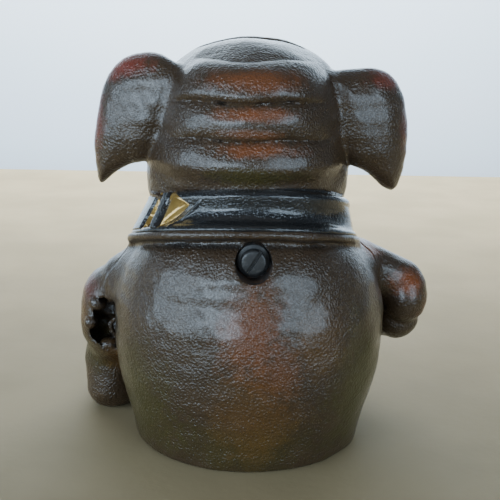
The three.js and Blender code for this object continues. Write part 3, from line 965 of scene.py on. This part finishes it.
def make_washer():
    low, high = WASHER_LOW.y, WASHER_HIGH.y
    bore = THREAD_MAJOR + 0.3
    edge = 0.18
    side = WASHER_RADIUS
    profile = [(bore + edge, low), (side - edge, low), (side, low + edge), (side, high - 0.3),
               (side - 0.1, high - 0.1), (side - 0.3, high), (bore + edge, high), (bore, high - edge),
               (bore, low + edge)]
    washer = ring("plain_washer", circle_rows(profile, 64), to_screw)
    washer.data.set_sharp_from_angle(angle=math.radians(40))
    return washer


def make_nut():
    """A square nut with softened corners and a threaded hole."""
    low, high = NUT_LOW.y, NUT_HIGH.y
    half = (NUT_HIGH.x - NUT_LOW.x) / 2
    angle = turns(96)
    square = half / np.maximum(np.abs(np.cos(angle)), np.abs(np.sin(angle)))
    rounded = np.minimum(square, half * 1.33)
    sides = [(rounded - 0.25, low), (rounded, low + 0.25), (rounded, high - 0.3),
             (np.minimum(rounded, half * 1.16), high)]
    rows = [round_row(radius, angle, height) for radius, height in sides]
    for height in np.linspace(high, low, 25):
        lead = 0.35 * np.clip(1 - min(high - height, height - low) / 0.5, 0, 1)
        cut = NUT_THREAD * np.abs(2 * thread_phase(height, angle) - 1)
        rows.append(round_row(NUT_MINOR + lead + cut, angle, height))
    nut = ring("square_nut_threaded", rows, to_screw)
    nut.data.set_sharp_from_angle(angle=math.radians(35))
    return nut


# ---- Materials ----

class Paint:
    """A material that is built up node by node."""

    def __init__(self, name):
        self.material = bpy.data.materials.new(name)
        self.material.use_nodes = True
        self.tree = self.material.node_tree
        self.shader = self.tree.nodes["Principled BSDF"]
        self.place = self.node("TexCoord", "Object")

    def node(self, kind, output, inputs=(), **settings):
        """An output of a new node, whose inputs are given as pairs of a name or number and a value."""
        made = self.tree.nodes.new("ShaderNode" + kind)
        for key, value in settings.items():
            setattr(made, key, value)
        for key, value in inputs:
            self.feed(made.inputs[key], value)
        return made.outputs[output]

    def feed(self, socket, value):
        if isinstance(value, bpy.types.NodeSocket):
            self.tree.links.new(value, socket)
        else:
            socket.default_value = (*value, 1) if socket.type == "RGBA" else value

    def maths(self, operation, *values):
        return self.node("Math", "Value", enumerate(values), operation=operation)

    def scale(self, value, factor, offset):
        return self.maths("MULTIPLY_ADD", value, factor, offset)

    def noise(self, size, detail=2.0, roughness=0.5):
        """Noise from 0 to 1, one step of whose grid is size mm."""
        inputs = [("Vector", self.place), ("Scale", 1 / (size * MM)), ("Detail", detail)]
        return self.node("TexNoise", "Fac", inputs + [("Roughness", roughness)])

    def vector(self, operation, *values, output="Vector"):
        return self.node("VectorMath", output, enumerate(values), operation=operation)

    def ramp(self, value, low, high, start=0.0, end=1.0):
        """start at or below low, end at or above high, and a smooth step between."""
        inputs = enumerate((value, low, high, start, end))
        return self.node("MapRange", "Result", inputs, interpolation_type="SMOOTHSTEP")

    def mix(self, share, first, second):
        colour_a, colour_b, colour_out = 6, 7, 2
        inputs = [("Factor", share), (colour_a, first), (colour_b, second)]
        return self.node("Mix", colour_out, inputs, data_type="RGBA")

    def number(self, name):
        return self.node("Attribute", "Fac", attribute_name=name)

    def spray(self, colour, over, centre, radii, strength, drift):
        """An airbrushed patch of paint: an ellipsoid in mm that fades out from its heart."""
        offset = self.vector("SUBTRACT", self.place, tuple(c * MM for c in centre))
        scaled = self.vector("DIVIDE", offset, tuple(r * MM for r in radii))
        reach = self.maths("ADD", self.vector("LENGTH", scaled, output="Value"), drift)
        return self.mix(self.ramp(reach, 0.2, 1.1, strength, 0.0), over, colour)

    def bump(self, height, distance, strength=1.0, under=None):
        inputs = [("Distance", distance * MM), ("Strength", strength), ("Height", height)]
        inputs += [("Normal", under)] if under else []
        return self.node("Bump", "Normal", inputs)

    def finish(self, **inputs):
        for name, value in inputs.items():
            self.feed(self.shader.inputs[name.replace("_", " ").title()], value)
        return self.material


UMBER = (0.042, 0.024, 0.012)
# Near black: the nose, eyes and pits, and painted shade in creases, beside the left elbow and in the
# screw's recess.
BLACK_AND_SHADE = (0.010, 0.009, 0.009)
RUST = (0.235, 0.058, 0.010)
RED = (0.25, 0.042, 0.026)
OLIVE = (0.043, 0.039, 0.006)
OCHRE = (0.13, 0.056, 0.011)

# Airbrushed patches on the castings, and patches of painted shade beside the left elbow and in the
# screw's recess: colour, centre and radii in mm, and strength.
SPRAYS = [
    (OLIVE, (-40, 22, 26), (22, 34, 34), 0.85),
    (OLIVE, (38, 24, 20), (22, 30, 26), 0.7),
    (OLIVE, (0, 42, 8), (44, 16, 14), 0.45),
    (RUST, (1, 46, 50), (12, 16, 18), 0.42),
    (RUST, (-8, 46, 37), (11, 16, 14), 0.3),
    (OCHRE, (-22, 40, 46), (12, 14, 16), 0.35),
    (OCHRE, (-2, 44, 20), (18, 16, 22), 0.45),
    (RUST, (0, 31, 125.5), (22, 14, 5), 0.5),
    (RUST, (1, 35, 115.4), (21, 12, 3.0), 0.65),
    (RUST, (2, 34, 109.4), (13, 12, 2.0), 0.35),
    (RUST, (-3, 36, 104.4), (21, 12, 3.0), 0.62),
    (OLIVE, (-2, 33, 96), (26, 12, 4), 0.6),
    (RED, (44, 3, 129), (15, 14, 7), 0.7),
    (RED, (54, 2, 112), (5, 16, 18), 0.8),
    (RED, (-44, 3, 126), (13, 14, 5.5), 0.5),
    (RED, (-52.5, 2, 112), (3.6, 14, 16), 0.4),
    (RUST, (-58, -6, 53.5), (8, 14, 6.5), 1.0),
    (RUST, (-66, -13, 42), (5, 14, 8), 0.45),
    (RUST, (-43, -6, 67), (8, 11, 5), 0.9),
    (RED, (59, -12, 50), (8, 14, 7), 0.45),
    (OCHRE, (61, -14, 40), (7, 15, 12), 0.7),
    (OLIVE, (58, -16, 26), (12, 16, 12), 0.6),
    (OCHRE, (46, -4, 24), (8, 20, 9), 0.45),
    (RUST, (0, -38, 131), (18, 14, 8), 0.5),
    (OCHRE, (0, -50, 98), (18, 14, 9), 0.5),
    (OCHRE, (0, -46, 44), (22, 16, 24), 0.4),
    (OLIVE, (0, -46, 14), (40, 30, 12), 0.5),
    (BLACK_AND_SHADE, (0, -60, 107.3), (9, 6, 6.5), 1.0),
    (BLACK_AND_SHADE, (EYE_X, EYE_Y - 2, EYE_Z), (6, 5, 5), 1.0),
    (BLACK_AND_SHADE, (-EYE_X, EYE_Y - 2, EYE_Z), (6, 5, 5), 1.0),
    # Painted shade on the body where it meets the left elbow hollow.
    (BLACK_AND_SHADE, (47, 9, 41), (4.5, 13, 8.5), 0.95),
    # Painted shade on the floor and wall of the screw's recess.
    (BLACK_AND_SHADE, (SCREW_X, RECESS_FLOOR_Y + 1, SCREW_Z), (8, 4.5, 8), 1.0),
]


def lacquered_iron():
    """Brown lacquer with airbrushed colours over a sand-cast skin, painted shade in its creases, and
    bare iron inside.
    """
    paint = Paint("lacquered_iron")
    cloud = paint.noise(14, 3)
    mottle = paint.noise(2.6, 2, 0.65)
    drift = paint.scale(cloud, 0.8, -0.4)
    drift = paint.maths("ADD", drift, paint.scale(mottle, 0.9, -0.45))
    colour = paint.mix(paint.ramp(paint.noise(9, 3), 0.35, 0.7), UMBER, tuple(c * 1.25 for c in UMBER))
    for tint, centre, radii, strength in SPRAYS:
        colour = paint.spray(tint, colour, centre, radii, strength, drift)
    # Painted shade: spots deep in creases and hollows are darkened towards black.
    crease_shade = paint.number("crease_shade")
    colour = paint.mix(paint.ramp(crease_shade, 0.35, 1.0, 0.0, 0.85), colour, BLACK_AND_SHADE)
    speck = paint.noise(0.4, 1)
    colour = paint.mix(paint.ramp(speck, 0.6, 0.78, 0.0, 0.5), colour, BLACK_AND_SHADE)
    bare = paint.number("bare")
    crust = paint.ramp(paint.noise(3, 4), 0.4, 0.65)
    iron = paint.mix(crust, (0.035, 0.03, 0.027), (0.09, 0.045, 0.025))
    colour = paint.mix(bare, colour, iron)
    gloss = paint.scale(paint.noise(5, 2), 0.16, 0.24)
    rough = paint.scale(bare, 0.35, gloss)
    sand = paint.bump(paint.noise(2.0, 2, 0.6), 0.16, 1)
    peel = paint.bump(paint.noise(0.8, 1, 0.5), 0.52, 1, sand)
    return paint.finish(base_color=colour, roughness=rough, normal=peel,
                        coat_weight=0.4, coat_roughness=0.2)


def collar_enamel():
    """Gloss black enamel, with gold inside the facets and stripes."""
    paint = Paint("collar_enamel")
    gold = paint.ramp(paint.number("gold"), -0.1, 0.14)
    wear = paint.ramp(paint.noise(1.6, 3), 0.6, 0.75, 0.0, 0.4)
    shade = paint.ramp(paint.number("crease_shade"), 0, 1, 0, 0.8)
    black = paint.mix(shade, (0.011, 0.011, 0.012), (0.004, 0.004, 0.004))
    bright = paint.mix(paint.ramp(paint.noise(4, 2), 0.35, 0.7), (0.42, 0.25, 0.06), (0.58, 0.36, 0.10))
    worn = paint.mix(wear, bright, (0.25, 0.13, 0.03))
    colour = paint.mix(gold, black, worn)
    rough = paint.scale(paint.noise(1.4, 2), 0.12, 0.16)
    depth = paint.scale(gold, -0.7, 1.0)
    sand = paint.bump(paint.noise(2.0, 2, 0.6), 0.13, depth)
    peel = paint.bump(paint.noise(0.8, 1, 0.5), 0.5, depth, sand)
    metallic = paint.maths("MULTIPLY", gold, 0.6)
    return paint.finish(base_color=colour, roughness=rough, metallic=metallic, normal=peel,
                        coat_weight=0.7, coat_roughness=0.14)


def black_steel():
    """Blackened steel with fine turning marks and rubbed edges."""
    paint = Paint("black_steel")
    rub = paint.ramp(paint.noise(1.2, 4, 0.6), 0.5, 0.75)
    colour = paint.mix(rub, (0.036, 0.034, 0.033), (0.075, 0.071, 0.068))
    rough = paint.scale(paint.noise(0.8, 3), 0.25, 0.3)
    grain = paint.bump(paint.noise(0.5, 3, 0.6), 0.03, 0.8)
    return paint.finish(base_color=colour, roughness=rough, metallic=0.35, normal=grain)


def plain_steel():
    """Dull zinc-grey steel with patches of rust."""
    paint = Paint("plain_steel")
    rust = paint.ramp(paint.noise(2.2, 4, 0.6), 0.5, 0.66)
    colour = paint.mix(rust, (0.34, 0.33, 0.31), (0.16, 0.07, 0.035))
    rough = paint.scale(rust, 0.35, 0.35)
    metal = paint.scale(rust, -0.8, 0.95)
    grain = paint.bump(paint.noise(0.6, 3, 0.6), 0.04, 0.7)
    return paint.finish(base_color=colour, roughness=rough, metallic=metal, normal=grain)


def table_top():
    paint = Paint("pale_table")
    cloud = paint.ramp(paint.noise(60, 5), 0.3, 0.7)
    colour = paint.mix(cloud, (0.34, 0.265, 0.14), (0.40, 0.31, 0.17))
    grain = paint.bump(paint.noise(3, 4), 0.2, 0.4)
    return paint.finish(base_color=colour, roughness=0.75, normal=grain)


def wall_paint():
    paint = Paint("pale_wall")
    colour = paint.mix(paint.ramp(paint.noise(300, 3), 0.3, 0.7), (0.76, 0.88, 0.98), (0.8, 0.91, 0.99))
    return paint.finish(base_color=colour, roughness=0.85)


# ---- Making the scene ----

def dress(piece, material, slot, body, *nodes):
    """Gives a piece its material, and says which body it rides and which CAD nodes it stands for."""
    piece.data.materials.clear()
    piece.data.materials.append(material)
    if nodes:
        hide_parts(*nodes)
    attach(piece, body)


add_camera()
add_lights()
add_stage(table_top(), wall_paint())

iron_paint = lacquered_iron()
grid_top = CROWN_Z + 4
rear = make_casting("rear_shell", True, (-62, SPLIT_Y - MARGIN, -MARGIN), (62, 46 + MARGIN, grid_top))
front = make_casting("front_shell", False, (-70, -72 - MARGIN, -MARGIN),
                     (66, SPLIT_Y + 5 + MARGIN, grid_top))
dress(rear, iron_paint, "lacquered_iron", "rear_half", "rear_casting")
dress(front, iron_paint, "lacquered_iron", "front_half", "front_casting")

band = make_collar()
enamel = collar_enamel()
dress(keep_side(band, "collar_rear", False), enamel, "collar_black", "rear_half")
dress(keep_side(band, "collar_front", True), enamel, "collar_black", "front_half")
bpy.data.objects.remove(band)

steel = black_steel()
dress(make_screw(), steel, "black_steel", "screw", "assembly_screw")
dress(make_washer(), steel, "black_steel", "washer", "screw_washer")
dress(make_nut(), plain_steel(), "plain_steel", "front_half", "square_nut")
